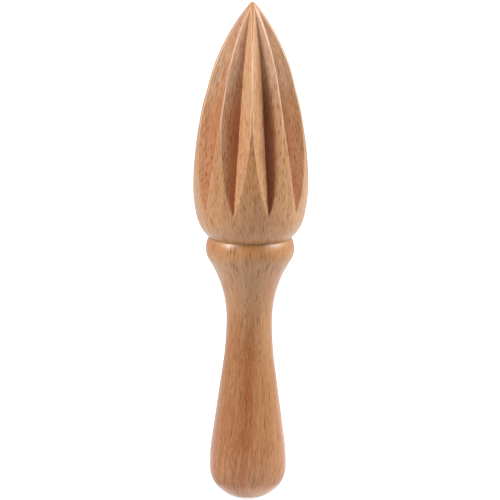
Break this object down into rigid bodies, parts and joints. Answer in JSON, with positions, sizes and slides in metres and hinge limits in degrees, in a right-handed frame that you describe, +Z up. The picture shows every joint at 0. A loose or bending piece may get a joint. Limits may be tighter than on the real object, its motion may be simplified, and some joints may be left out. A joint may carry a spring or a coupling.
{
  "type": "citrus reamer",
  "caption": "Hand-held wooden citrus reamer: a pointed, V-fluted head over a turned bead, waisted grip and rounded butt.",
  "frame": {"origin": "middle of the flat on the butt of the handle", "axes": "+Z up the turning axis from the butt to the tip of the head; a ridge of the fluted head faces -Y"},
  "size_m": [0.0376, 0.0382, 0.165],
  "materials": {
    "beech": "pale pinkish-tan beech with fine dark pore flecks, oiled to a soft semi-gloss"
  },
  "bodies": {
    "root": {"reamer": "beech"}
  },
  "joints": []
}
